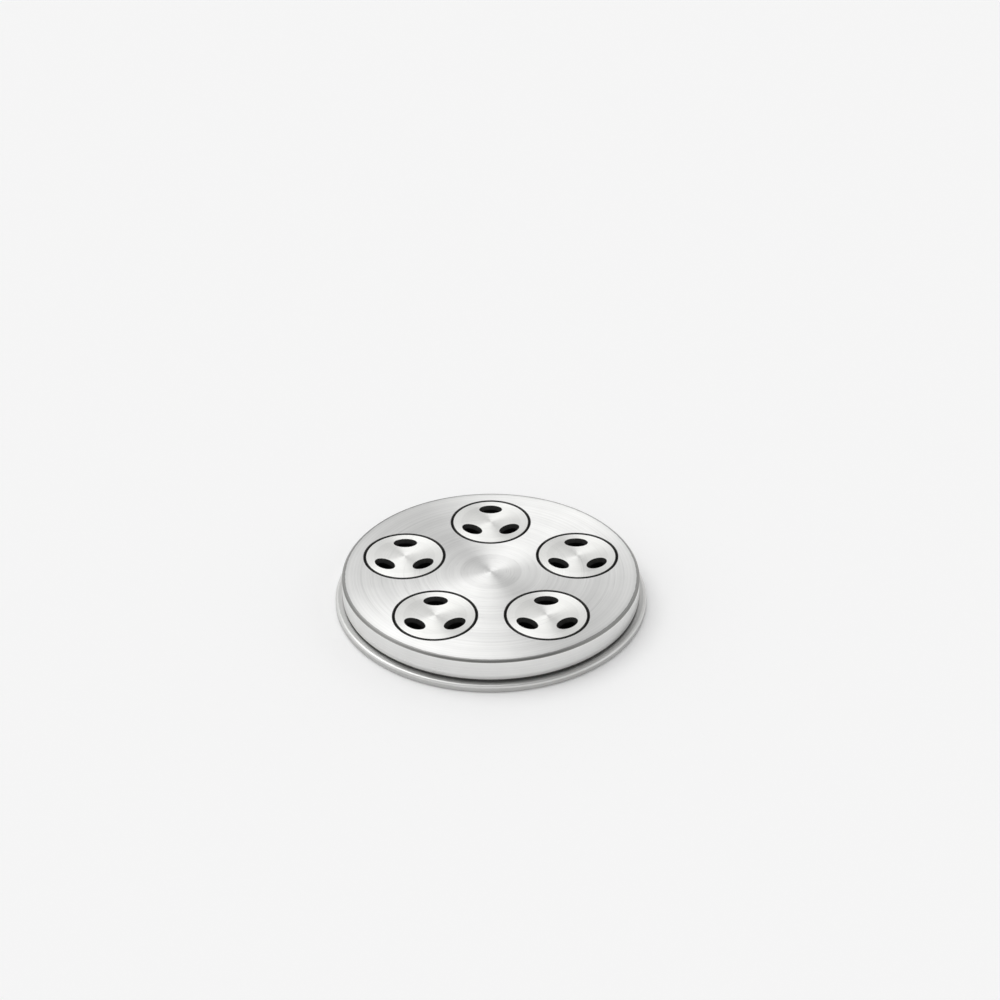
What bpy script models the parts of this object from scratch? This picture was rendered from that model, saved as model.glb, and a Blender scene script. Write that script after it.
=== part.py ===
"""Pasta extrusion die for linguine of 3 x 1.6 mm: a turned disc with five drilled inserts.

The die rests on its inlet face, with the outlet face up. The origin is the centre of the
inlet face, Z points the way the dough leaves, and Y points from the front of the die to the
back. Sizes are in metres, written through MM.
"""

import math

import bmesh
import bpy
from mathutils import Vector

MM = 0.001

# Disc: a plain cylinder on a thin clamping flange
FLANGE_DIAMETER = 50.0 * MM    # the seat at the end of the extruder's barrel sets this
FLANGE_REACH = 1.2 * MM        # how far the flange stands out beyond the cylinder
BODY_RISE = 3.75 * MM          # outlet face above the flange's shoulder
FLANGE_THICKNESS = 1.2 * MM
FACE_CHAMFER = 0.3 * MM        # round the outlet face
FLANGE_ROUNDING = 0.4 * MM     # radius of the flange's upper edge
BACK_CHAMFER = 0.15 * MM       # lower edge of the flange
RELIEF_RADIUS = 0.18 * MM      # half-round groove where the cylinder meets the flange

# Inserts, on one pitch circle, the first of them at the back. Their size is what is left
# between the metal that the disc keeps round their seats
INSERT_COUNT = 5
SEAT_RIM = 1.5 * MM            # between a seat and the disc's wall
SEAT_WEB = 2.1 * MM            # between neighbouring seats
INSERT_EDGE_CHAMFER = 0.15 * MM
COLLAR_LEDGE = 1.1 * MM        # how far the collar stands out beyond the insert's barrel
COLLAR_THICKNESS = 1.2 * MM
COLLAR_CHAMFER = 0.15 * MM
COLLAR_RECESS = 0.35 * MM      # collar's back below the inlet face, so that the flange seats

# Seats in the disc
FIT_CLEARANCE = 0.1 * MM       # all round the barrel and the collar
STACK_CLEARANCE = 0.05 * MM    # between collar, seal ring and ledge
BORE_CHAMFER = 0.15 * MM       # where each bore breaks through the outlet face
INLET_CHAMFER = 0.3 * MM       # where each seat opens in the inlet face

# Flat ring that seals each insert's collar against its ledge
SEAL_THICKNESS = 0.5 * MM

# Passages, three in each insert: round feed, throat, slot and flared outlet. The feeds take
# what is left between the metal that the insert keeps round them
FEED_WALL = 0.65 * MM          # between a feed and the side of the insert's barrel
FEED_WEB = 2.25 * MM           # between the two front feeds
FEED_MOUTH_CHAMFER = 0.35 * MM
THROAT_LENGTH = 0.8 * MM       # where the round feed narrows to the slot
SLOT_LENGTH = 3.0 * MM
SLOT_WIDTH = 1.6 * MM
SLOT_LAND = 1.3 * MM           # straight length that gives the strand its section
FLARE_DEPTH = 0.6 * MM         # where the slot opens out towards the outlet face
FLARE_REACH = 0.38 * MM        # how far the flare's rim lies outside the slot, all round
FRONT_PASSAGE_ANGLE = math.radians(36)  # the two front passages lie this far below the X axis
FRONT_SLOT_TILT = math.radians(40)      # and their slots are turned by this

OVERCUT = 0.4 * MM             # how far cutters reach past the faces that they break

# Facets round each kind of circle
DISC_FACETS = 96
INSERT_FACETS = 40
RELIEF_FACETS = 4
ROUNDING_FACETS = 3
PASSAGE_FACETS = 24

WELD_DISTANCE = 0.001 * MM
SHARP_ANGLE = math.radians(30)

flange_radius = FLANGE_DIAMETER / 2
body_radius = flange_radius - FLANGE_REACH
face_height = FLANGE_THICKNESS + BODY_RISE


def largest_round(reach, web, spread):
    """Pitch radius and radius of circles that reach as far from the axis as they can.

    Two neighbours stand spread times the pitch radius apart, with the web between them.
    """
    pitch = (reach + web / 2) / (1 + spread / 2)
    return pitch, reach - pitch


insert_spread = 2 * math.sin(math.pi / INSERT_COUNT)
insert_pitch, seat_radius = largest_round(body_radius - SEAT_RIM, SEAT_WEB, insert_spread)
collar_radius = seat_radius - FIT_CLEARANCE
barrel_radius = collar_radius - COLLAR_LEDGE
bore_radius = barrel_radius + FIT_CLEARANCE

front_spread = 2 * math.cos(FRONT_PASSAGE_ANGLE)
passage_pitch, feed_radius = largest_round(barrel_radius - FEED_WALL, FEED_WEB, front_spread)

collar_front = COLLAR_RECESS + COLLAR_THICKNESS
seal_back = collar_front + STACK_CLEARANCE
seal_front = seal_back + SEAL_THICKNESS
ledge_height = seal_front + STACK_CLEARANCE


def clear_scene():
    for old in list(bpy.data.objects):
        bpy.data.objects.remove(old, do_unlink=True)


def metal(name, colour, roughness, metallic=1.0):
    """A Principled BSDF material of one colour."""
    material = bpy.data.materials.new(name)
    material.use_nodes = True
    shader = material.node_tree.nodes["Principled BSDF"]
    shader.inputs["Base Color"].default_value = (*colour, 1.0)
    shader.inputs["Roughness"].default_value = roughness
    shader.inputs["Metallic"].default_value = metallic
    material.diffuse_color = (*colour, 1.0)
    return material


def finish_mesh(bm, name):
    """Welds the seams, turns every face outwards and shades the round faces smooth."""
    bmesh.ops.remove_doubles(bm, verts=bm.verts, dist=WELD_DISTANCE)
    bmesh.ops.recalc_face_normals(bm, faces=bm.faces)
    mesh = bpy.data.meshes.new(name)
    bm.to_mesh(mesh)
    bm.free()
    mesh.shade_smooth()
    mesh.set_sharp_from_angle(angle=SHARP_ANGLE)
    return mesh


def turned(name, profile, facets):
    """Turns a closed profile of (radius, height) points about the Z axis."""
    bm = bmesh.new()
    corners = [bm.verts.new((radius, 0.0, height)) for radius, height in profile]
    sides = zip(corners, corners[1:] + corners[:1])
    edges = [bm.edges.new(pair) for pair in sides if any(v.co.x > 0.0 for v in pair)]
    bmesh.ops.spin(
        bm,
        geom=corners + edges,
        axis=(0.0, 0.0, 1.0),
        cent=(0.0, 0.0, 0.0),
        angle=math.tau,
        steps=facets,
        use_merge=True,
    )
    return finish_mesh(bm, name)


def ellipse(half_length, half_width, height, tilt, centre):
    """Points of a level ellipse, its long axis turned by tilt from the X axis."""
    points = []
    for k in range(PASSAGE_FACETS):
        turn = math.tau * k / PASSAGE_FACETS
        along = half_length * math.cos(turn)
        across = half_width * math.sin(turn)
        x = along * math.cos(tilt) - across * math.sin(tilt)
        y = along * math.sin(tilt) + across * math.cos(tilt)
        points.append(Vector((centre.x + x, centre.y + y, height)))
    return points


def loft(bm, sections):
    """A closed skin through sections that have the same number of points."""
    rings = [[bm.verts.new(point) for point in section] for section in sections]
    for lower, upper in zip(rings, rings[1:]):
        for k in range(len(lower)):
            after = (k + 1) % len(lower)
            bm.faces.new((lower[k], lower[after], upper[after], upper[k]))
    bm.faces.new(reversed(rings[0]))
    bm.faces.new(rings[-1])


def place(name, mesh, parent, material=None):
    """An object with this mesh, at its parent's place."""
    placed = bpy.data.objects.new(name, mesh)
    bpy.context.collection.objects.link(placed)
    placed.parent = parent
    if material:
        placed.data.materials.clear()
        placed.data.materials.append(material)
    return placed


def cutter(name, mesh, parent):
    """A helper that only cuts, and isn't part of the die."""
    helper = place(name, mesh, parent)
    helper.hide_render = True
    helper.display_type = "WIRE"
    return helper


def cut(target, tool):
    difference = target.modifiers.new(f"cut_{tool.name}", "BOOLEAN")
    difference.operation = "DIFFERENCE"
    difference.solver = "EXACT"
    difference.object = tool


def relief_groove():
    """Half-round groove in the foot of the cylinder, from the shoulder upwards."""
    middle = FLANGE_THICKNESS + RELIEF_RADIUS
    points = []
    for k in range(RELIEF_FACETS + 1):
        turn = math.pi * k / RELIEF_FACETS
        points.append((
            body_radius - RELIEF_RADIUS * math.sin(turn),
            middle - RELIEF_RADIUS * math.cos(turn),
        ))
    return points


def rounded_flange_edge():
    """Quarter circle from the flange's rim over to its shoulder."""
    centre_radius = flange_radius - FLANGE_ROUNDING
    centre_height = FLANGE_THICKNESS - FLANGE_ROUNDING
    points = []
    for k in range(ROUNDING_FACETS + 1):
        turn = math.pi / 2 * k / ROUNDING_FACETS
        points.append((
            centre_radius + FLANGE_ROUNDING * math.cos(turn),
            centre_height + FLANGE_ROUNDING * math.sin(turn),
        ))
    return points


def disc_mesh():
    profile = [
        (0.0, 0.0),
        (flange_radius - BACK_CHAMFER, 0.0),
        (flange_radius, BACK_CHAMFER),
        *rounded_flange_edge(),
        *relief_groove(),
        (body_radius, face_height - FACE_CHAMFER),
        (body_radius - FACE_CHAMFER, face_height),
        (0.0, face_height),
    ]
    return turned("disc", profile, DISC_FACETS)


def seat_mesh():
    """The stepped hole that takes one insert, cut from below the inlet face to above the outlet."""
    inlet_radius = seat_radius + INLET_CHAMFER + OVERCUT
    outlet_radius = bore_radius + BORE_CHAMFER + OVERCUT
    profile = [
        (0.0, -OVERCUT),
        (inlet_radius, -OVERCUT),
        (seat_radius, INLET_CHAMFER),
        (seat_radius, ledge_height),
        (bore_radius, ledge_height),
        (bore_radius, face_height - BORE_CHAMFER),
        (outlet_radius, face_height + OVERCUT),
        (0.0, face_height + OVERCUT),
    ]
    return turned("seat", profile, INSERT_FACETS)


def insert_blank_mesh():
    """Barrel with a collar at the inlet end, before its passages are drilled."""
    profile = [
        (0.0, COLLAR_RECESS),
        (collar_radius - COLLAR_CHAMFER, COLLAR_RECESS),
        (collar_radius, COLLAR_RECESS + COLLAR_CHAMFER),
        (collar_radius, collar_front),
        (barrel_radius, collar_front),
        (barrel_radius, face_height - INSERT_EDGE_CHAMFER),
        (barrel_radius - INSERT_EDGE_CHAMFER, face_height),
        (0.0, face_height),
    ]
    return turned("insert_blank", profile, INSERT_FACETS)


def passages_mesh():
    """The three passages of an insert, each one loft from its round mouth to its slot."""
    land_end = face_height - FLARE_DEPTH
    land_start = land_end - SLOT_LAND
    mouth_radius = feed_radius + FEED_MOUTH_CHAMFER + OVERCUT
    half_length, half_width = SLOT_LENGTH / 2, SLOT_WIDTH / 2
    outlet_reach = FLARE_REACH * (1 + OVERCUT / FLARE_DEPTH)
    stations = [
        (COLLAR_RECESS - OVERCUT, mouth_radius, mouth_radius),
        (COLLAR_RECESS + FEED_MOUTH_CHAMFER, feed_radius, feed_radius),
        (land_start - THROAT_LENGTH, feed_radius, feed_radius),
        (land_start, half_length, half_width),
        (land_end, half_length, half_width),
        (face_height + OVERCUT, half_length + outlet_reach, half_width + outlet_reach),
    ]
    places = [
        (math.radians(90), 0.0),
        (-FRONT_PASSAGE_ANGLE, FRONT_SLOT_TILT),
        (math.pi + FRONT_PASSAGE_ANGLE, -FRONT_SLOT_TILT),
    ]
    bm = bmesh.new()
    for around, tilt in places:
        centre = passage_pitch * Vector((math.cos(around), math.sin(around)))
        sections = [
            ellipse(along, across, height, tilt, centre)
            for height, along, across in stations
        ]
        loft(bm, sections)
    return finish_mesh(bm, "passages")


def seal_mesh():
    """Flat ring with the barrel through it, between the collar and the ledge."""
    profile = [
        (bore_radius, seal_back),
        (collar_radius, seal_back),
        (collar_radius, seal_front),
        (bore_radius, seal_front),
    ]
    return turned("seal", profile, INSERT_FACETS)


def build():
    clear_scene()
    disc_metal = metal("turned_disc_metal", (0.80, 0.80, 0.79), 0.32)
    insert_metal = metal("lapped_insert_metal", (0.84, 0.84, 0.82), 0.24)
    seal_plastic = metal("seal_plastic", (0.88, 0.88, 0.86), 0.45, metallic=0.0)

    body = place("die_body", disc_mesh(), None, disc_metal)
    seat, blank, passages, seal = seat_mesh(), insert_blank_mesh(), passages_mesh(), seal_mesh()
    for k in range(INSERT_COUNT):
        around = math.radians(90) + math.tau * k / INSERT_COUNT
        station = place(f"station_{k + 1}", None, None)
        station.location = insert_pitch * Vector((math.cos(around), math.sin(around), 0.0))
        cut(body, cutter(f"seat_cutter_{k + 1}", seat, station))
        insert = place(f"insert_{k + 1}", blank, station, insert_metal)
        cut(insert, cutter(f"passage_cutter_{k + 1}", passages, station))
        place(f"insert_seal_{k + 1}", seal, station, seal_plastic)


build()
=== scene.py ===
"""Finish, light and camera of a linguine die: a flanged disc with five drilled inserts.

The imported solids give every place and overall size. The disc and its inserts are turned again
here as fine surfaces with softened edges, and get the marks that the lathe leaves. Sizes are in
metres, written through MM.
"""

import math

import bmesh
import bpy
import numpy as np
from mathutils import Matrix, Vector


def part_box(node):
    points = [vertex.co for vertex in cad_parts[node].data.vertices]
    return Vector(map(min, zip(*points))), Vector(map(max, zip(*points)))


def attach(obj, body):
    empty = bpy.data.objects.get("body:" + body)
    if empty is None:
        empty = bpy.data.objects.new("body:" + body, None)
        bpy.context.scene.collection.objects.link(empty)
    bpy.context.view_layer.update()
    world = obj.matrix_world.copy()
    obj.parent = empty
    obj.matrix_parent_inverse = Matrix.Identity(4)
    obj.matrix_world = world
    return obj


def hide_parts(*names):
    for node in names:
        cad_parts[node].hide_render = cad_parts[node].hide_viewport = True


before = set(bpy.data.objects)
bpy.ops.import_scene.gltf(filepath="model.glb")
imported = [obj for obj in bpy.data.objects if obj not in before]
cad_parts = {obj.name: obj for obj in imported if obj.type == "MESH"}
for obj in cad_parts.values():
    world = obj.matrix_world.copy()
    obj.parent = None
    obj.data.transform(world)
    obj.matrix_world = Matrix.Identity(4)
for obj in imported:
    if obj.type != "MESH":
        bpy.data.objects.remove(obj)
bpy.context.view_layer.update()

MM = 0.001

# Disc
FLANGE_REACH = 1.2 * MM        # how far the flange stands out beyond the wall
FLANGE_THICKNESS = 1.2 * MM
FLANGE_ROUNDING = 0.4 * MM     # radius of the flange's upper edge
BACK_CHAMFER = 0.15 * MM       # lower edge of the flange
FACE_CHAMFER = 0.3 * MM        # round the outlet face
RELIEF_RADIUS = 0.18 * MM      # groove where the wall meets the flange
RELIEF_CORNER = 0.13 * MM      # nose radius of the tool that cut it
RELIEF_LIP = 0.015 * MM        # rounding of the wall's lower edge, above the groove
SHOULDER_REST = 0.3 * MM       # flat of the shoulder that belongs to the flange's profile

# Inserts and their seats
INSERT_COUNT = 5
COLLAR_LEDGE = 1.1 * MM        # how far the collar stands out beyond the barrel
COLLAR_THICKNESS = 1.2 * MM
COLLAR_CHAMFER = 0.15 * MM
EDGE_CHAMFER = 0.15 * MM       # round an insert and round its bore, in the outlet face
INLET_CHAMFER = 0.3 * MM       # where each seat opens in the inlet face
FIT_CLEARANCE = 0.1 * MM       # all round the barrel and the collar
STACK_CLEARANCE = 0.05 * MM    # between a seal ring and the ledge above it

# Passages, three in each insert
FEED_WALL = 0.65 * MM          # between a feed and the side of the barrel
FEED_WEB = 2.25 * MM           # between the two front feeds
FEED_MOUTH_CHAMFER = 0.35 * MM
THROAT_LENGTH = 0.8 * MM       # where the round feed narrows to the slot
SLOT_LENGTH = 3.0 * MM
SLOT_WIDTH = 1.6 * MM
SLOT_LAND = 1.3 * MM           # straight length of the slot
FLARE_DEPTH = 0.6 * MM         # where the slot opens out towards the outlet face
FLARE_REACH = 0.38 * MM        # how far the flare's rim lies outside the slot
FRONT_PASSAGE_ANGLE = math.radians(36)  # the two front passages lie this far below the X axis
FRONT_SLOT_TILT = math.radians(40)      # and their slots are turned by this

# Softening of the edges
CRISP = 0.03 * MM              # a deburred edge
EASED = 0.06 * MM              # the edges that a hand takes hold of
HOLD = 0.01 * MM               # how far a flat stays flat beyond the end of an arc

# Fineness of the grids
CRISP_STEPS = 3                # on a deburred edge, and more on a larger rounding
SECTOR_ARC_POINTS = 72         # of the disc's face, one sector for each insert
SECTOR_SIDE_POINTS = 43
INSERT_ARC_POINTS = 80         # of an insert's face, one sector for each passage
INSERT_SIDE_POINTS = 22
FACE_ROWS = 8
WELD_DISTANCE = 0.001 * MM

body_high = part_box("die_body")[1]
flange_radius = body_high.x
body_radius = flange_radius - FLANGE_REACH
face_height = body_high.z

insert_names = [f"insert_{k + 1}" for k in range(INSERT_COUNT)]
seal_names = [f"insert_seal_{k + 1}" for k in range(INSERT_COUNT)]
insert_boxes = {name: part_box(name) for name in insert_names}
insert_centres = {name: (low + high) / 2 for name, (low, high) in insert_boxes.items()}
first_low, first_high = insert_boxes[insert_names[0]]
collar_radius = (first_high.x - first_low.x) / 2
collar_back = first_low.z
collar_front = collar_back + COLLAR_THICKNESS
barrel_radius = collar_radius - COLLAR_LEDGE
bore_radius = barrel_radius + FIT_CLEARANCE
seat_radius = collar_radius + FIT_CLEARANCE
ledge_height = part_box(seal_names[0])[1].z + STACK_CLEARANCE

# The feeds reach as far as their walls and the web between the front two let them
front_lean = math.cos(FRONT_PASSAGE_ANGLE)
passage_pitch = (barrel_radius - FEED_WALL + FEED_WEB / 2) / (1 + front_lean)
feed_radius = barrel_radius - FEED_WALL - passage_pitch


def arc_steps(rounding):
    """Steps on an arc, as the square root of its radius, so that all have the same sagitta."""
    return max(CRISP_STEPS, math.ceil(CRISP_STEPS * math.sqrt(rounding / CRISP)))


def softened(corners, roundings):
    """An open profile of (radius, height) points whose inner corners are arcs.

    With turn the angle between the two sides at a corner, an arc of the given radius leaves
    them radius * tan(turn / 2) from the corner. Its points are start + radius * (inward *
    (1 - cos a) + arrive * sin a) for a from 0 to turn. One more point lies HOLD beyond each
    end of the arc, so that the sides are shaded flat.
    """
    corners = np.asarray(corners, float)
    points = [corners[:1]]
    for before, corner, after, rounding in zip(corners, corners[1:], corners[2:], roundings):
        arrive = (corner - before) / np.linalg.norm(corner - before)
        leave = (after - corner) / np.linalg.norm(after - corner)
        turn = math.atan2(arrive[0] * leave[1] - arrive[1] * leave[0], arrive @ leave)
        inward = math.copysign(1.0, turn) * np.array([-arrive[1], arrive[0]])
        reach = rounding * math.tan(abs(turn) / 2)
        start = corner - reach * arrive
        end = corner + reach * leave
        angle = np.linspace(0, abs(turn), arc_steps(rounding) + 1)[:, None]
        arc = start + rounding * (inward * (1 - np.cos(angle)) + arrive * np.sin(angle))
        points += [[start - HOLD * arrive], arc, [end + HOLD * leave]]
    return np.vstack([*points, corners[-1:]])


def turned(profile, turns, centre=(0.0, 0.0)):
    """Grid of a profile carried round a vertical axis at centre.

    Row i, column j is (x, y) = centre + radius_i * (cos, sin)(turn_j), at height_i.
    """
    radius = profile[:, :1]
    height = profile[:, 1:]
    x = centre[0] + radius * np.cos(turns)
    y = centre[1] + radius * np.sin(turns)
    return np.stack([x, y, height + 0 * turns], axis=-1)


def sector_outline(start, middle, stop, radius, pitch, arc_points, side_points):
    """Closed outline of a sector: out along one side, round the arc, back along the other.

    The sector holds a hole on the line at middle, pitch from the centre. Its side points are
    spread evenly as the hole sees them: with lean the angle from that line to the side, the ray
    that leaves the hole at angle a from the centre meets the side at the distance
    pitch * sin(a) / sin(lean + a).
    """
    def side(lean):
        reach = math.atan2(radius * math.sin(lean), pitch - radius * math.cos(lean))
        a = np.linspace(0, reach, side_points, endpoint=False)[:, None]
        return pitch * np.sin(a) / np.sin(lean + a)

    turns = np.linspace(start, stop, arc_points)
    rays = np.stack([np.cos(turns), np.sin(turns)], axis=-1)
    there = side(middle - start) * rays[0]
    back = side(stop - middle) * rays[-1]
    return np.vstack([there, radius * rays, back[:0:-1]])


def directions(points, centre):
    """Angle at which each point is seen from centre."""
    offset = points - centre
    return np.arctan2(offset[:, 1], offset[:, 0])


def ellipse(half_length, half_width, tilt, turns, centre):
    """Level ellipse: centre + half_length * cos(turn) along the tilt, half_width * sin(turn) across."""
    along = half_length * np.cos(turns)
    across = half_width * np.sin(turns)
    x = centre[0] + along * math.cos(tilt) - across * math.sin(tilt)
    y = centre[1] + along * math.sin(tilt) + across * math.cos(tilt)
    return np.stack([x, y], axis=-1)


def pierced_face(ring, outline, height):
    """Flat grid from a ring to the outline round it: ring + share * (outline - ring)."""
    share = np.linspace(0, 1, FACE_ROWS)[:, None, None]
    plan = ring + share * (outline - ring)
    return np.dstack([plan, np.full(plan.shape[:2], height)])


def closed_piece(name, grids, materials, axis=(0.0, 0.0)):
    """One closed mesh from (grid, material number) pairs that meet along their borders.

    Each grid closes on itself from its last column to its first. The attribute from_axis holds
    each point's place from the piece's own turning axis, in millimetres.
    """
    points, quads, numbers = [], [], []
    count = 0
    for grid, number in grids:
        rows, columns = grid.shape[:2]
        index = count + np.arange(rows * columns).reshape(rows, columns)
        beside = np.roll(index, -1, axis=1)
        cells = np.stack([index[:-1], beside[:-1], beside[1:], index[1:]], axis=-1)
        points.append(grid.reshape(-1, 3))
        quads.append(cells.reshape(-1, 4))
        numbers.append(np.full(len(quads[-1]), number))
        count += rows * columns
    mesh = bpy.data.meshes.new(name)
    mesh.from_pydata(np.vstack(points), [], np.vstack(quads).tolist())
    for material in materials:
        mesh.materials.append(material)
    mesh.polygons.foreach_set("material_index", np.concatenate(numbers).astype(np.int32))

    bm = bmesh.new()
    bm.from_mesh(mesh)
    bmesh.ops.remove_doubles(bm, verts=bm.verts, dist=WELD_DISTANCE)
    bmesh.ops.recalc_face_normals(bm, faces=bm.faces)
    bm.to_mesh(mesh)
    bm.free()
    mesh.shade_smooth()

    place = np.zeros(len(mesh.vertices) * 3, np.float32)
    mesh.vertices.foreach_get("co", place)
    place = (place.reshape(-1, 3) - np.array([*axis, 0.0], np.float32)) / MM
    from_axis = mesh.attributes.new("from_axis", "FLOAT_VECTOR", "POINT")
    from_axis.data.foreach_set("vector", place.ravel())
    piece = bpy.data.objects.new(name, mesh)
    bpy.context.scene.collection.objects.link(piece)
    return piece


# Marks of the lathe, in waves for each millimetre of the tool's path
WIDE_RINGS = 0.45
MIDDLE_RINGS = 2.4
FINE_RINGS = 9.0
WIDE_SHARE = 0.6               # of the wide rings in the bands of tone and gloss
RING_WANDER = 3.0              # radians by which the middle rings shift the grooves
FEED_RELIEF = 0.35             # height of the even grooves, in groove depths
FINE_RELIEF = 1.6              # height of the uneven ones
BAND_GLOSS = 2.2               # how much more the bands change the roughness than the tone

# Clouding of a face by hands and cloths
CLOUDS = 0.22                  # waves for each millimetre
CLOUD_SHADE = 0.95
CLOUD_GLOSS = 0.10

# Arcs that a cutter's blade leaves in the outlet face
BLADE_RINGS = 5.0              # waves for each millimetre of radius
BLADE_SWEEP = 1.6              # waves for each radian of bearing
BLADE_START = 0.62             # level of the noise at which an arc begins to show
BLADE_FULL = 0.70
BLADE_RELIEF = -1.5            # in groove depths
BLADE_SHADE = -0.07

# Wear, painted shade and painted highlight along an edge: how far each reaches, and what it adds to the
# tone
# The face darkens towards its rim by painted shade, a dark line along the edge.
PAINTED_RIM_SHADE = (0.29 * MM, -0.6)
# The chamfer's lighter borders are rubbed wear and a painted edge highlight.
CHAMFER_TOP_WEAR_AND_HIGHLIGHT = (0.05 * MM, 0.3)
CHAMFER_FOOT_WEAR_AND_HIGHLIGHT = (0.07 * MM, 0.6)
WALL_RUB = (0.2 * MM, 0.08)
FLANGE_RUB = (0.4 * MM, 0.3)
INSERT_RUB = (0.25 * MM, 0.06)
WEAR_WAVES = 1.3               # waves for each millimetre, of the border of the worn strip
WEAR_WANDER = 0.6              # how far that border wanders, as a share of the reach
WEAR_FULL = 0.55               # share of the reach that is fully worn

# Inside the bores, and the grain of the seals
STAINS = 1.6                   # waves for each millimetre
STAIN_SHADE = 0.75
STAIN_DULLING = 0.1
BORE_GRAIN = 14.0
BORE_GRAIN_DEPTH = 0.004 * MM
SEAL_GRAIN = 3.0
SEAL_SHADE = 0.92

# A noise seldom leaves this range
NOISE_LOW = 0.3
NOISE_MIDDLE = 0.5
NOISE_HIGH = 0.7


def node(tree, kind, inputs=(), **settings):
    """A shader node with its settings, each of its inputs a value or the socket that feeds it."""
    made = tree.nodes.new("ShaderNode" + kind)
    for key, value in settings.items():
        setattr(made, key, value)
    for key, value in dict(inputs).items():
        if isinstance(value, bpy.types.NodeSocket):
            tree.links.new(value, made.inputs[key])
        else:
            made.inputs[key].default_value = value
    return made


def maths(tree, operation, *values):
    """Output socket of a Math node."""
    return node(tree, "Math", enumerate(values), operation=operation).outputs[0]


def vectors(tree, operation, first, second=(0, 0, 0)):
    """Output vector of a Vector Math node."""
    return node(tree, "VectorMath", {0: first, 1: second}, operation=operation).outputs[0]


def scaled(tree, vector, factor):
    """A vector or colour times a factor."""
    inputs = {0: vector, "Scale": factor}
    return node(tree, "VectorMath", inputs, operation="SCALE").outputs[0]


def length(tree, vector):
    """Length of a vector."""
    return node(tree, "VectorMath", {0: vector}, operation="LENGTH").outputs["Value"]


def levelled(tree, place):
    """A place without its height."""
    return vectors(tree, "MULTIPLY", place, (1, 1, 0))


def noise(tree, place, scale, detail):
    """A noise about NOISE_MIDDLE with scale waves in each unit of place."""
    inputs = {"Vector": place, "Scale": scale, "Detail": detail}
    return node(tree, "TexNoise", inputs).outputs["Fac"]


def between(tree, value, low, high, out_low, out_high):
    """The value mapped from low..high to out_low..out_high, and held there beyond."""
    keys = ("Value", "From Min", "From Max", "To Min", "To Max")
    inputs = zip(keys, (value, low, high, out_low, out_high))
    return node(tree, "MapRange", inputs).outputs["Result"]


def noise_between(tree, value, out_low, out_high):
    """A noise mapped from its usual range to out_low..out_high."""
    return between(tree, value, NOISE_LOW, NOISE_HIGH, out_low, out_high)


def new_material(name):
    """A material, its node tree and its shader."""
    material = bpy.data.materials.new(name)
    material.use_nodes = True
    return material, material.node_tree, material.node_tree.nodes["Principled BSDF"]


def blade_marks(tree):
    """Faint arcs round the disc's own axis, where a cutter's blade has swept over the face.

    They are the peaks of a noise that is quick along the radius and slow along the bearing, so
    each arc begins and ends somewhere.
    """
    level = levelled(tree, node(tree, "TexCoord").outputs["Object"])
    bearing = scaled(tree, vectors(tree, "NORMALIZE", level), BLADE_SWEEP)
    parts = node(tree, "SeparateXYZ", {0: bearing}).outputs
    radius = maths(tree, "MULTIPLY", length(tree, level), BLADE_RINGS / MM)
    place = node(tree, "CombineXYZ", {"X": parts["X"], "Y": parts["Y"], "Z": radius}).outputs[0]
    peaks = noise(tree, place, scale=1.0, detail=1.0)
    return between(tree, peaks, BLADE_START, BLADE_FULL, 0.0, 1.0)


def edge_wear_and_painted_light(tree, place, radius, height, edges):
    """Factor on the tone near an edge: 1 + gain at the edge itself, and 1 beyond its reach. A negative gain
    paints shade; a positive one is rubbed wear, and on the chamfer a painted highlight as well.

    Each edge is a circle (radius, height, reach, gain) round the piece's axis. A noise is added
    to the distance from it, so that the worn strip has a wandering border.
    """
    wander = maths(tree, "SUBTRACT", noise(tree, place, WEAR_WAVES, detail=4.0), NOISE_MIDDLE)
    factor = 1.0
    for edge_radius, edge_height, reach, gain in edges:
        offset = node(tree, "CombineXYZ", {
            "X": maths(tree, "SUBTRACT", radius, edge_radius / MM),
            "Y": maths(tree, "SUBTRACT", height, edge_height / MM),
        }).outputs[0]
        distance = maths(tree, "MULTIPLY_ADD", wander, WEAR_WANDER * reach / MM, length(tree, offset))
        amount = between(tree, distance, WEAR_FULL * reach / MM, reach / MM, 1.0, 0.0)
        factor = maths(tree, "MULTIPLY", maths(tree, "MULTIPLY_ADD", amount, gain, 1.0), factor)
    return factor


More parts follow.
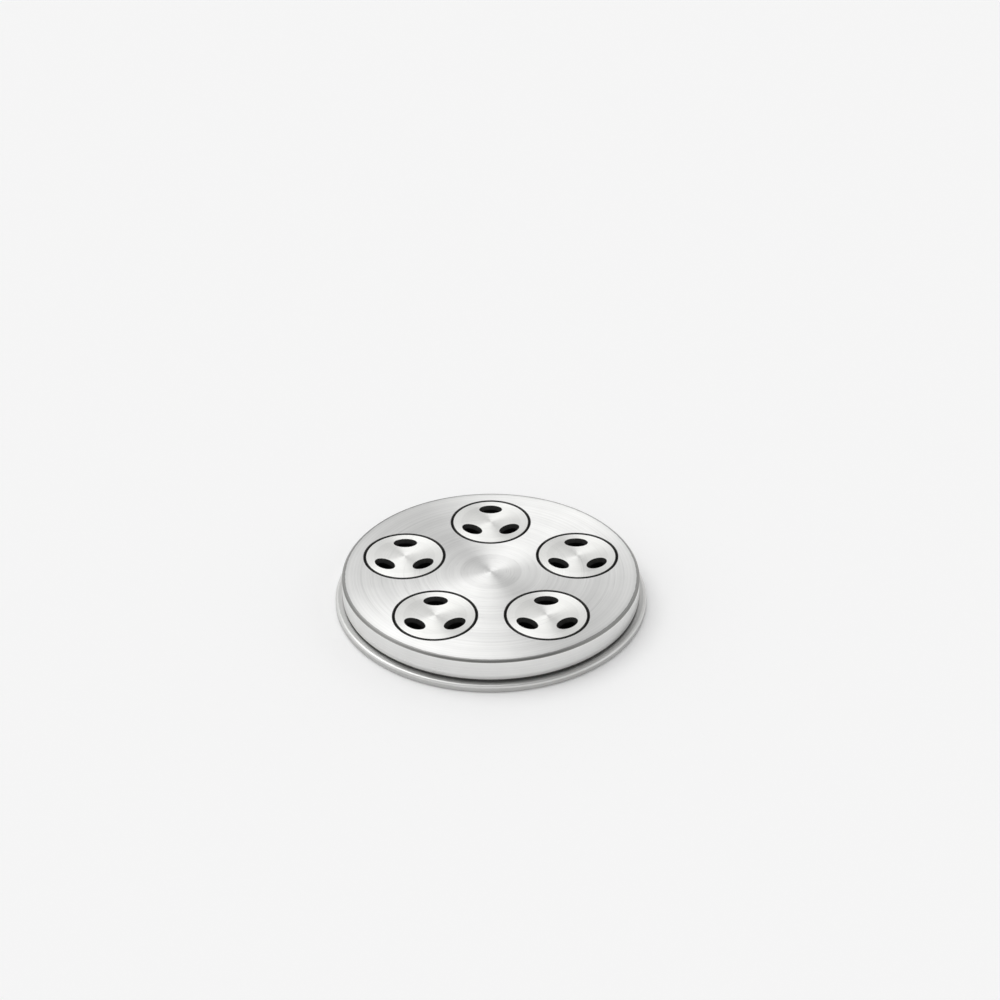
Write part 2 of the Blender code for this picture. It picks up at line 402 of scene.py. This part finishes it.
def turned_metal(name, tone, roughness, feed, groove_depth, anisotropy, banding, edges=(), swept=False):
    """Metal with the marks of a lathe tool.

    The tool's path is radius - height: it grows outwards on a face and downwards on a wall, so
    the marks are circles on both. feed is the pitch of the even grooves in mm, groove_depth
    their depth in mm, and banding how much wider rings differ in tone and gloss. The tangent
    of the brushed highlight is the way outwards less the way up, which lies across the grooves
    on both. A swept face has the marks of a cutter's blade as well.
    """
    material, tree, shader = new_material(name)
    place = node(tree, "Attribute", attribute_name="from_axis").outputs["Vector"]
    level = levelled(tree, place)
    radius = length(tree, level)
    height = node(tree, "SeparateXYZ", {0: place}).outputs["Z"]
    path = maths(tree, "SUBTRACT", radius, height)

    def rings(scale, detail):
        inputs = {"W": path, "Scale": scale, "Detail": detail}
        return node(tree, "TexNoise", inputs, noise_dimensions="1D").outputs["Fac"]

    wide = rings(WIDE_RINGS, detail=2.0)
    middle = rings(MIDDLE_RINGS, detail=3.0)
    fine = rings(FINE_RINGS, detail=2.0)
    cloud = noise(tree, place, CLOUDS, detail=4.0)

    phase = maths(tree, "MULTIPLY_ADD", path, math.tau / feed, maths(tree, "MULTIPLY", middle, RING_WANDER))
    uneven = maths(tree, "MULTIPLY", fine, FINE_RELIEF)
    groove = maths(tree, "MULTIPLY_ADD", maths(tree, "SINE", phase), FEED_RELIEF, uneven)

    band = maths(tree, "MULTIPLY_ADD", wide, WIDE_SHARE, maths(tree, "MULTIPLY", middle, 1 - WIDE_SHARE))
    band_shade = noise_between(tree, band, 1 - banding, 1.0)
    cloud_shade = noise_between(tree, cloud, CLOUD_SHADE, 1.0)
    shade = maths(tree, "MULTIPLY", band_shade, cloud_shade)
    if edges:
        shade = maths(tree, "MULTIPLY", shade, edge_wear_and_painted_light(tree, place, radius, height, edges))
    if swept:
        sweep = blade_marks(tree)
        groove = maths(tree, "MULTIPLY_ADD", sweep, BLADE_RELIEF, groove)
        shade = maths(tree, "MULTIPLY_ADD", sweep, BLADE_SHADE, shade)
    band_gloss = noise_between(tree, band, roughness * (1 + BAND_GLOSS * banding), roughness)
    clouding = maths(tree, "SUBTRACT", cloud, NOISE_MIDDLE)
    gloss = maths(tree, "MULTIPLY_ADD", clouding, CLOUD_GLOSS, band_gloss)
    bump = node(tree, "Bump", {"Height": groove, "Distance": groove_depth * MM, "Strength": 1.0})

    across = vectors(tree, "ADD", vectors(tree, "NORMALIZE", level), (0, 0, -1))
    tree.links.new(scaled(tree, tone, shade), shader.inputs["Base Color"])
    tree.links.new(gloss, shader.inputs["Roughness"])
    tree.links.new(bump.outputs["Normal"], shader.inputs["Normal"])
    tree.links.new(across, shader.inputs["Tangent"])
    shader.inputs["Metallic"].default_value = 1.0
    shader.inputs["Anisotropic"].default_value = anisotropy
    return material


def bored_metal(name, tone, roughness):
    """Metal inside a seat, a passage or the foot groove: dull, with faint uneven stains. The near-black
    tones it is given are painted shade.
    """
    material, tree, shader = new_material(name)
    place = node(tree, "Attribute", attribute_name="from_axis").outputs["Vector"]
    stain = noise(tree, place, STAINS, detail=4.0)
    grain = noise(tree, place, BORE_GRAIN, detail=2.0)
    colour = scaled(tree, tone, noise_between(tree, stain, STAIN_SHADE, 1.0))
    gloss = noise_between(tree, stain, roughness + STAIN_DULLING, roughness)
    bump = node(tree, "Bump", {"Height": grain, "Distance": BORE_GRAIN_DEPTH, "Strength": 1.0})
    tree.links.new(colour, shader.inputs["Base Color"])
    tree.links.new(gloss, shader.inputs["Roughness"])
    tree.links.new(bump.outputs["Normal"], shader.inputs["Normal"])
    shader.inputs["Metallic"].default_value = 1.0
    return material


def seal_plastic(tone, roughness):
    """Dense plastic with a faint skived grain."""
    material, tree, shader = new_material("seal_plastic")
    place = node(tree, "TexCoord").outputs["Object"]
    grain = noise(tree, place, SEAL_GRAIN / MM, detail=3.0)
    colour = scaled(tree, tone, noise_between(tree, grain, SEAL_SHADE, 1.0))
    tree.links.new(colour, shader.inputs["Base Color"])
    shader.inputs["Roughness"].default_value = roughness
    return material


def disc_metals():
    """Finishes of the disc: face, wall, flange, seats, chamfer, and the groove in its foot. The darker
    tones of the flange, chamfer, seats and groove are painted shade.
    """
    face_edge = (body_radius - FACE_CHAMFER, face_height)
    wall_edge = (body_radius, face_height - FACE_CHAMFER)
    flange_edge = (flange_radius - FLANGE_ROUNDING / 3, FLANGE_THICKNESS - FLANGE_ROUNDING / 3)
    return [
        turned_metal(
            "faced_disc_metal", tone=(0.80, 0.80, 0.79), roughness=0.36, feed=0.17, groove_depth=0.0012,
            anisotropy=0.8, banding=0.13, edges=[(*face_edge, *PAINTED_RIM_SHADE)], swept=True,
        ),
        turned_metal(
            "turned_wall_metal", tone=(0.87, 0.87, 0.86), roughness=0.28, feed=0.14, groove_depth=0.0012,
            anisotropy=0.6, banding=0.13, edges=[(*wall_edge, *WALL_RUB)],
        ),
        # The flange's tone, darker than the wall's, is painted shade: the disc is one metal throughout.
        turned_metal(
            "flange_metal_painted_shade", tone=(0.58, 0.58, 0.57), roughness=0.34, feed=0.12, groove_depth=0.0012,
            anisotropy=0.35, banding=0.15, edges=[(*flange_edge, *FLANGE_RUB)],
        ),
        # The seat's near-black tone is painted shade, in the gap round each insert and down its bore.
        bored_metal("seat_bore_painted_shade", tone=(0.06, 0.06, 0.058), roughness=0.45),
        # The chamfer's dark tone is painted shade, a dark line round the face's edge; mirroring the dim
        # ceiling darkens it further.
        turned_metal(
            "chamfer_metal_painted_shade", tone=(0.30, 0.30, 0.29), roughness=0.30, feed=0.12, groove_depth=0.0008,
            anisotropy=0.3, banding=0.10,
            edges=[(*face_edge, *CHAMFER_TOP_WEAR_AND_HIGHLIGHT), (*wall_edge, *CHAMFER_FOOT_WEAR_AND_HIGHLIGHT)],
        ),
        # The groove's near-black tone is painted shade in the hollow.
        bored_metal("foot_groove_painted_shade", tone=(0.12, 0.12, 0.117), roughness=0.45),
    ]


def insert_metals():
    """Finishes of an insert: its two faces, its barrel and collar, and its passages. The near-black tones
    of the barrel, collar and passages are painted shade.
    """
    rim = (barrel_radius - EDGE_CHAMFER, face_height)
    return [
        turned_metal(
            "lapped_insert_metal", tone=(0.84, 0.84, 0.82), roughness=0.30, feed=0.13, groove_depth=0.0008,
            anisotropy=0.8, banding=0.10, edges=[(*rim, *INSERT_RUB)], swept=True,
        ),
        # The barrel's near-black tone is painted shade, in the gap round the insert.
        bored_metal("insert_barrel_painted_shade", tone=(0.06, 0.06, 0.058), roughness=0.45),
        # The passages' near-black tone is painted shade inside the slots.
        bored_metal("passage_painted_shade", tone=(0.035, 0.035, 0.034), roughness=0.5),
    ]


def outside_profiles():
    """Upper wall, foot and flange of the disc: three profiles, each from where the last one ends.

    They meet on flats, halfway up the wall and on the shoulder.
    """
    relief_top = FLANGE_THICKNESS + 2 * RELIEF_RADIUS
    relief_bottom_radius = body_radius - RELIEF_RADIUS
    mid_wall = (face_height + relief_top) / 2
    mid_shoulder = flange_radius - FLANGE_ROUNDING - SHOULDER_REST
    upper = softened(
        [
            (body_radius - FACE_CHAMFER - EASED - 2 * HOLD, face_height),
            (body_radius - FACE_CHAMFER, face_height),
            (body_radius, face_height - FACE_CHAMFER),
            (body_radius, mid_wall),
        ],
        [EASED, EASED],
    )
    foot = softened(
        [
            (body_radius, mid_wall),
            (body_radius, relief_top),
            (relief_bottom_radius, relief_top),
            (relief_bottom_radius, FLANGE_THICKNESS),
            (mid_shoulder, FLANGE_THICKNESS),
        ],
        [RELIEF_LIP, RELIEF_CORNER, RELIEF_CORNER],
    )
    flange = softened(
        [
            (mid_shoulder, FLANGE_THICKNESS),
            (flange_radius, FLANGE_THICKNESS),
            (flange_radius, BACK_CHAMFER),
            (flange_radius - BACK_CHAMFER, 0.0),
            (flange_radius - BACK_CHAMFER - EASED - 2 * HOLD, 0.0),
        ],
        [FLANGE_ROUNDING, EASED, EASED],
    )
    return upper, foot, flange


def seat_profile():
    """Stepped seat of an insert, from the outlet face through the ledge to the inlet face."""
    return softened(
        [
            (bore_radius + EDGE_CHAMFER + CRISP + 2 * HOLD, face_height),
            (bore_radius + EDGE_CHAMFER, face_height),
            (bore_radius, face_height - EDGE_CHAMFER),
            (bore_radius, ledge_height),
            (seat_radius, ledge_height),
            (seat_radius, INLET_CHAMFER),
            (seat_radius + INLET_CHAMFER, 0.0),
            (seat_radius + INLET_CHAMFER + EASED + 2 * HOLD, 0.0),
        ],
        [CRISP, CRISP, CRISP, EASED, EASED, EASED],
    )


def disc_piece():
    """The disc: its turned outside, its five stepped seats, and the two faces between them.

    The outside is a profile carried round the disc's axis, and a seat one carried round its own.
    Each face has one sector for each seat, a grid from the ring of the seat to the outline.
    """
    upper, foot, flange = outside_profiles()
    seat = seat_profile()
    half_sector = math.pi / INSERT_COUNT
    faced, wall, shaded_flange, bored, chamfered, grooved = range(6)
    grids, rim_turns = [], []
    for centre in insert_centres.values():
        hole = np.array([centre.x, centre.y])
        pitch = math.hypot(*hole)
        middle = math.atan2(centre.y, centre.x)
        start = middle - half_sector
        stop = middle + half_sector
        top, back = (
            sector_outline(start, middle, stop, radius, pitch, SECTOR_ARC_POINTS, SECTOR_SIDE_POINTS)
            for radius in (upper[0, 0], flange[-1, 0])
        )
        skin = turned(seat, directions(top, hole), hole)
        grids += [
            (skin, bored),
            (pierced_face(skin[0, :, :2], top, face_height), faced),
            (pierced_face(skin[-1, :, :2], back, 0.0), faced),
        ]
        rim_turns.append(np.linspace(start, stop, SECTOR_ARC_POINTS)[:-1])
    around = np.concatenate(rim_turns)
    grids += [
        (turned(upper[:-1], around), chamfered),
        (turned(np.vstack([upper[-2:], foot[:2]]), around), wall),
        (turned(foot[1:-1], around), grooved),
        (turned(np.vstack([foot[-2:], flange[1:]]), around), shaded_flange),
    ]
    return closed_piece("turned_disc", grids, disc_metals())


def insert_side():
    """Outside of an insert, from the outlet face down the barrel and round the collar."""
    return softened(
        [
            (barrel_radius - EDGE_CHAMFER - CRISP - 2 * HOLD, face_height),
            (barrel_radius - EDGE_CHAMFER, face_height),
            (barrel_radius, face_height - EDGE_CHAMFER),
            (barrel_radius, collar_front),
            (collar_radius, collar_front),
            (collar_radius, collar_back + COLLAR_CHAMFER),
            (collar_radius - COLLAR_CHAMFER, collar_back),
            (collar_radius - COLLAR_CHAMFER - CRISP - 2 * HOLD, collar_back),
        ],
        [CRISP] * 6,
    )


def passage_rows():
    """Rows of (half length, half width, height) for one passage, from its inlet to its outlet.

    A round feed with a chamfered mouth, a throat that narrows evenly into the slot, the
    straight land, and a flare that widens both half axes by the same reach.
    """
    land_end = face_height - FLARE_DEPTH
    land_start = land_end - SLOT_LAND
    feed_end = land_start - THROAT_LENGTH
    slot = np.array([SLOT_LENGTH / 2, SLOT_WIDTH / 2])
    mouth = softened(
        [
            (feed_radius + FEED_MOUTH_CHAMFER + CRISP + 2 * HOLD, collar_back),
            (feed_radius + FEED_MOUTH_CHAMFER, collar_back),
            (feed_radius, collar_back + FEED_MOUTH_CHAMFER),
            (feed_radius, feed_end - HOLD),
        ],
        [CRISP, CRISP],
    )
    climb = np.array([[0.0], [HOLD], [THROAT_LENGTH - HOLD], [THROAT_LENGTH]])
    throat = np.hstack([feed_radius + climb / THROAT_LENGTH * (slot - feed_radius), feed_end + climb])
    flare = softened(
        [
            (0.0, land_start + HOLD),
            (0.0, land_end),
            (FLARE_REACH, face_height),
            (FLARE_REACH + CRISP + 2 * HOLD, face_height),
        ],
        [CRISP, CRISP],
    )
    return np.vstack([
        np.column_stack([mouth[:, 0], mouth]),
        throat,
        np.column_stack([slot + flare[:, :1], flare[:, 1]]),
    ])


def insert_piece(name, centre, materials):
    """One insert: barrel and collar, three passages, and the two faces between them.

    The side is a profile carried round the insert's axis, and a passage a stack of ellipses.
    Each face has one sector for each passage, a grid from the passage's rim to the outline.
    Neighbouring sectors meet halfway between their passages.
    """
    axis = np.array([centre.x, centre.y])
    side = insert_side()
    rows = passage_rows()
    halfway = (math.pi / 2 - FRONT_PASSAGE_ANGLE) / 2
    passages = [
        (-FRONT_PASSAGE_ANGLE, FRONT_SLOT_TILT),
        (math.pi / 2, 0.0),
        (math.pi + FRONT_PASSAGE_ANGLE, -FRONT_SLOT_TILT),
    ]
    limits = [-math.pi / 2, halfway, math.pi - halfway, 3 * math.pi / 2]
    lapped, barrel, passage = range(3)
    grids, rim_turns = [], []
    for (turn, tilt), start, stop in zip(passages, limits, limits[1:]):
        hole = axis + passage_pitch * np.array([math.cos(turn), math.sin(turn)])
        top, back = (
            axis + sector_outline(
                start, turn, stop, radius, passage_pitch, INSERT_ARC_POINTS, INSERT_SIDE_POINTS
            )
            for radius in (side[0, 0], side[-1, 0])
        )
        turns = directions(top, hole) - tilt
        skin = np.stack([
            np.column_stack([
                ellipse(half_length, half_width, tilt, turns, hole),
                np.full(len(turns), height),
            ])
            for half_length, half_width, height in rows
        ])
        grids += [
            (skin, passage),
            (pierced_face(skin[-1, :, :2], top, face_height), lapped),
            (pierced_face(skin[0, :, :2], back, collar_back), lapped),
        ]
        rim_turns.append(np.linspace(start, stop, INSERT_ARC_POINTS)[:-1])
    grids.append((turned(side, np.concatenate(rim_turns), axis), barrel))
    return closed_piece(name, grids, materials, axis)


def dress_die():
    """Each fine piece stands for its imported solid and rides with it. The seals keep theirs."""
    disc = disc_piece()
    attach(disc, "root")
    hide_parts("die_body")
    materials = insert_metals()
    for name, centre in insert_centres.items():
        insert = insert_piece(f"lapped_{name}", centre, materials)
        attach(insert, "root")
        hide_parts(name)
    plastic = seal_plastic(tone=(0.88, 0.88, 0.86), roughness=0.45)
    for name in seal_names:
        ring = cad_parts[name]
        ring.data.materials.clear()
        ring.data.materials.append(plastic)


# Studio
FLOOR_HALF = 3.0
FLOOR_TONE = 0.97
FLOOR_ROUGHNESS = 0.9
WALL_LEVEL = 0.95                  # of the studio's walls
WALL_FOOT_LEVEL = 0.92             # where they meet the floor, which has that tone too
WALL_FOOT_TOP = math.radians(15)
CEILING_START = math.radians(43)   # where the walls begin to darken into the ceiling
CEILING_FULL = math.radians(52)
CEILING_LEVEL = 0.28
CORNER_START = math.radians(3)     # where the corners of the room begin to darken
CORNER_FULL = math.radians(20)
CORNER_DIP = 0.35
SUN_BEARING = math.radians(140)    # from +X towards +Y
SUN_RISE = math.radians(66)
SUN_WIDTH = math.radians(58)
SUN_STRENGTH = 1.42


def studio_floor():
    """Pale matt floor just below the flange."""
    mesh = bpy.data.meshes.new("studio_floor")
    corners = [(-1, -1), (1, -1), (1, 1), (-1, 1)]
    mesh.from_pydata([(FLOOR_HALF * x, FLOOR_HALF * y, -HOLD) for x, y in corners], [], [(0, 1, 2, 3)])
    floor = bpy.data.objects.new("studio_floor", mesh)
    bpy.context.scene.collection.objects.link(floor)
    material, _, shader = new_material("studio_floor")
    shader.inputs["Base Color"].default_value = (FLOOR_TONE, FLOOR_TONE, FLOOR_TONE, 1.0)
    shader.inputs["Roughness"].default_value = FLOOR_ROUGHNESS
    shader.inputs["Specular IOR Level"].default_value = 0.0
    mesh.materials.append(material)


def studio_world():
    """Soft white walls and a dim ceiling: a face mirrors the walls, and its chamfer the ceiling.

    The corners of the room are halfway between the axes. They are dimmed by CORNER_DIP times
    the square of sin(2 * bearing), so that a round side shows its roundness.
    """
    world = bpy.data.worlds.new("studio")
    bpy.context.scene.world = world
    world.use_nodes = True
    tree = world.node_tree
    direction = node(tree, "TexCoord").outputs["Generated"]
    rise = node(tree, "SeparateXYZ", {0: direction}).outputs["Z"]
    walls = between(tree, rise, 0.0, math.sin(WALL_FOOT_TOP), WALL_FOOT_LEVEL, WALL_LEVEL)
    ceiling = between(tree, rise, math.sin(CEILING_START), math.sin(CEILING_FULL), 1.0, CEILING_LEVEL)
    bearing = vectors(tree, "NORMALIZE", levelled(tree, direction))
    parts = node(tree, "SeparateXYZ", {0: bearing}).outputs
    half_sine = maths(tree, "MULTIPLY", parts["X"], parts["Y"])
    corner = maths(tree, "MULTIPLY", maths(tree, "POWER", half_sine, 2.0), 4.0)
    raised = between(tree, rise, math.sin(CORNER_START), math.sin(CORNER_FULL), 0.0, CORNER_DIP)
    dimmed = maths(tree, "SUBTRACT", 1.0, maths(tree, "MULTIPLY", corner, raised))
    level = maths(tree, "MULTIPLY", maths(tree, "MULTIPLY", walls, ceiling), dimmed)
    background = tree.nodes["Background"]
    tree.links.new(level, background.inputs["Strength"])
    background.inputs["Color"].default_value = (1, 1, 1, 1)


def soft_sun():
    """One broad soft source, high behind the die on the left."""
    sun = bpy.data.lights.new("soft_sun", "SUN")
    sun.angle = SUN_WIDTH
    sun.energy = SUN_STRENGTH
    holder = bpy.data.objects.new("soft_sun", sun)
    bpy.context.scene.collection.objects.link(holder)
    place = Vector((
        math.cos(SUN_BEARING) * math.cos(SUN_RISE),
        math.sin(SUN_BEARING) * math.cos(SUN_RISE),
        math.sin(SUN_RISE),
    ))
    holder.rotation_euler = (-place).to_track_quat("-Z", "Y").to_euler()


# Camera: the drawing is taken as seen from the front, a little from above
VIEW_ELEVATION = math.radians(35.13)
VIEW_DISTANCE = 300 * MM
VIEW_CLOSEST = 10 * MM
VIEW_LENS = 66.79                  # mm, on the sensor below
VIEW_SENSOR = 36.0
AIM_RIGHT = math.radians(0.342)    # the axis of the lens passes this far right of the die
AIM_ABOVE = math.radians(2.986)    # and this far above it


def photo_camera():
    """Camera in the plane X = 0, turned from the die's inlet face by the two small aim angles."""
    camera = bpy.data.cameras.new("photo_camera")
    camera.lens = VIEW_LENS
    camera.sensor_width = VIEW_SENSOR
    camera.clip_start = VIEW_CLOSEST
    holder = bpy.data.objects.new("photo_camera", camera)
    bpy.context.scene.collection.objects.link(holder)
    holder.location = VIEW_DISTANCE * Vector((0, -math.cos(VIEW_ELEVATION), math.sin(VIEW_ELEVATION)))
    dip = VIEW_ELEVATION - AIM_ABOVE
    aim = Vector((
        math.sin(AIM_RIGHT) * math.cos(dip),
        math.cos(AIM_RIGHT) * math.cos(dip),
        -math.sin(dip),
    ))
    holder.rotation_euler = aim.to_track_quat("-Z", "Y").to_euler()
    bpy.context.scene.camera = holder


dress_die()
studio_floor()
studio_world()
soft_sun()
photo_camera()
bpy.context.scene.view_settings.view_transform = "Standard"
